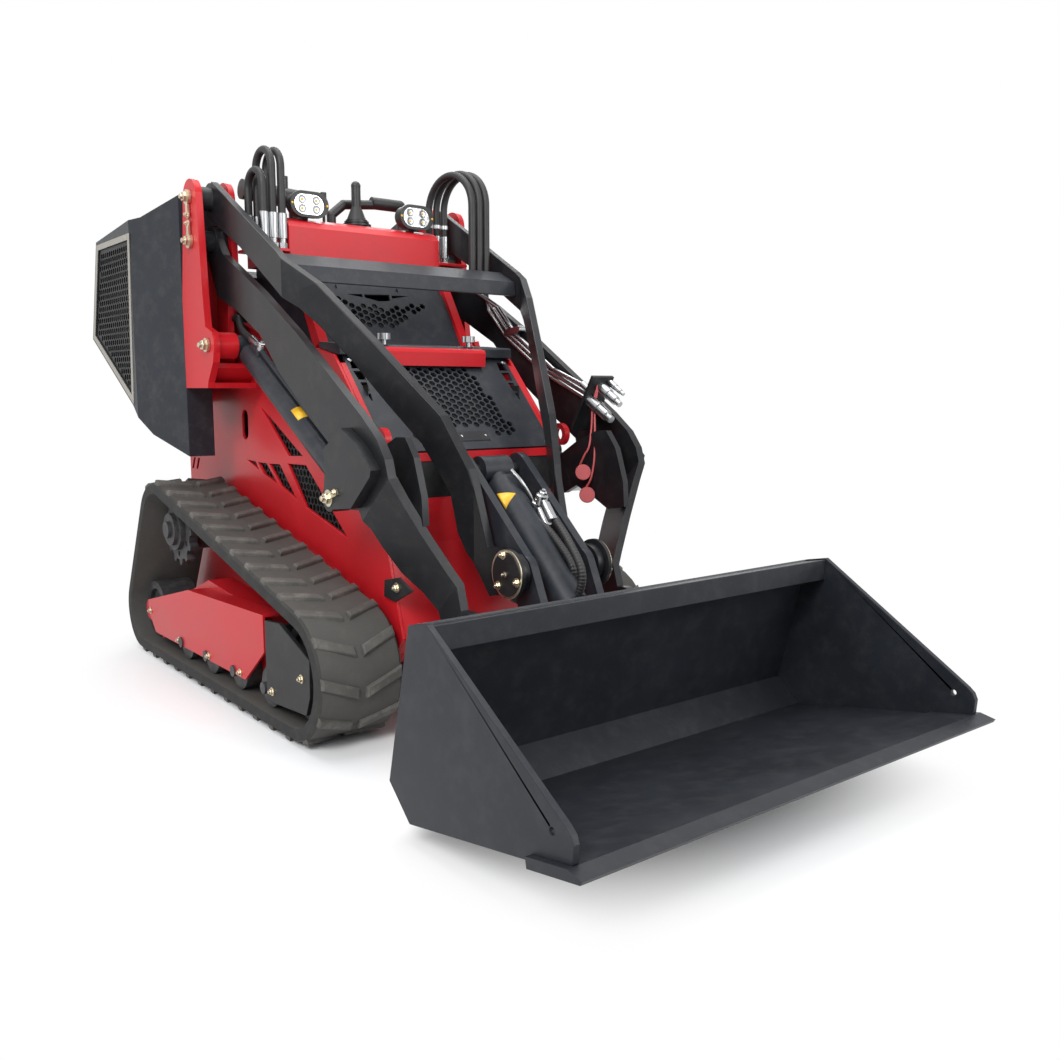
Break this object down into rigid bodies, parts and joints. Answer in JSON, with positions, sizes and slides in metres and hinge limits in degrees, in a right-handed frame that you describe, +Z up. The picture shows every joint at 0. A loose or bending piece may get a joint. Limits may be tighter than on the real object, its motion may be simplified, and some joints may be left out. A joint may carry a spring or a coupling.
{
  "type": "tracked mini loader",
  "caption": "Compact stand-on loader on rubber tracks with a parallel lift linkage, hydraulic cylinders and a tilting front bucket.",
  "frame": {"origin": "on the ground under the centre of the machine's overall length and width", "axes": "+X forward to the bucket, +Y to the machine's left, +Z up"},
  "size_m": [2.46, 1.1, 1.3972],
  "materials": {
    "red_paint": "gloss bright red enamel",
    "dark_paint": "satin anthracite enamel",
    "black_paint": "satin black enamel",
    "rubber_track": "black rubber with pale dust",
    "chrome_steel": "bright plated steel",
    "lamp_glass": "clear lamp lens over a bright reflector",
    "hose_rubber": "black hydraulic hose",
    "zinc_steel": "yellow zinc plated steel",
    "cast_metal": "dark painted castings",
    "engine_alloy": "plain engine block",
    "black_plastic": "matt black moulding"
  },
  "bodies": {
    "root": {"tub": "red_paint", "side_panels": "red_paint", "side_screens": "black_paint", "front_panel": "black_paint", "belly_front": "red_paint", "hood": "dark_paint", "hood_frame": "red_paint", "hood_beam": "dark_paint", "red_bar": "red_paint", "clamp_knobs": "chrome_steel", "upper_grille": "dark_paint", "grille_posts": "red_paint", "console": "red_paint", "console_box": "dark_paint", "work_lamps": "black_plastic", "lamp_lenses": "lamp_glass", "control_levers": "black_plastic", "handlebar": "black_paint", "towers": "red_paint", "tower_pins": "zinc_steel", "track_frames": "red_paint", "track_r": "rubber_track", "track_l": "rubber_track", "sprockets": "cast_metal", "front_idlers": "cast_metal", "rear_idlers": "cast_metal", "rollers": "cast_metal", "yoke_plates": "black_paint", "rear_boxes": "dark_paint", "rear_grilles": "black_paint", "rear_cover": "black_plastic", "platform": "dark_paint", "engine_block": "engine_alloy", "tie_rings": "red_paint", "side_hoses": "hose_rubber", "hose_ends": "chrome_steel", "arm_hoses": "hose_rubber"},
    "lift_arms": {"lower_arms": "black_paint", "coupler_bracket": "black_paint", "couplers": "chrome_steel", "arm_pipes": "chrome_steel"},
    "upper_frame": {"upper_arms": "black_paint", "crossbar": "dark_paint"},
    "carrier": {"hitch_carrier": "dark_paint", "hitch_pins": "black_paint"},
    "tilt_barrel_body": {"tilt_barrel": "dark_paint"},
    "tilt_rod_body": {"tilt_rod": "chrome_steel"},
    "lift_barrel_pair": {"lift_barrels": "dark_paint"},
    "lift_rod_pair": {"lift_rods": "chrome_steel"},
    "bucket": {"bucket_hitch": "dark_paint", "bucket_pins": "zinc_steel", "bucket_shell": "dark_paint", "bucket_sides": "dark_paint", "cutting_edge": "dark_paint", "bucket_tube": "dark_paint"}
  },
  "joints": [
    {"name": "lift", "type": "hinge", "parent": "root", "child": "lift_arms", "pos_m": [-0.479, 0, 1.162], "axis": [0, -1, 0], "range_deg": [-1, 75], "deforming": ["arm_hoses"]},
    {"name": "upper_pivot", "type": "hinge", "parent": "root", "child": "upper_frame", "pos_m": [-0.479, 0, 1.272], "axis": [0, -1, 0], "range_deg": [-2, 76]},
    {"name": "hitch_level", "type": "hinge", "parent": "lift_arms", "child": "carrier", "pos_m": [0.499, 0, 0.281], "axis": [0, -1, 0], "range_deg": [-76, 2]},
    {"name": "lift_barrel_pivot", "type": "hinge", "parent": "root", "child": "lift_barrel_pair", "pos_m": [-0.391, 0, 0.893], "axis": [0, -1, 0], "range_deg": [-2.05, 79.67]},
    {"name": "lift_rod_slide", "type": "slide", "parent": "lift_barrel_pair", "child": "lift_rod_pair", "axis": [0.8627, 0, -0.5057], "range_m": [-0.0095, 0.3454]},
    {"name": "tilt", "type": "hinge", "parent": "carrier", "child": "bucket", "pos_m": [0.6, 0, 0.17], "axis": [0, 1, 0], "range_deg": [-12, 50]},
    {"name": "tilt_barrel_pivot", "type": "hinge", "parent": "carrier", "child": "tilt_barrel_body", "pos_m": [0.273, 0, 0.593], "axis": [0, 1, 0], "range_deg": [-2.15, 5.79]},
    {"name": "tilt_rod_slide", "type": "slide", "parent": "tilt_barrel_body", "child": "tilt_rod_body", "axis": [0.7213, 0, -0.6926], "range_m": [-0.0154, 0.0547]}
  ],
  "couplings": [
    {"joint": "upper_pivot", "follows": "lift", "ratio": 1},
    {"joint": "hitch_level", "follows": "lift", "ratio": -1},
    {"joint": "lift_barrel_pivot", "follows": "lift", "ratio": 1.0489},
    {"joint": "lift_rod_slide", "follows": "lift", "m_per_rad": 0.26003},
    {"joint": "tilt_barrel_pivot", "follows": "tilt", "ratio": 0.0958},
    {"joint": "tilt_rod_slide", "follows": "tilt", "m_per_rad": 0.05921}
  ]
}
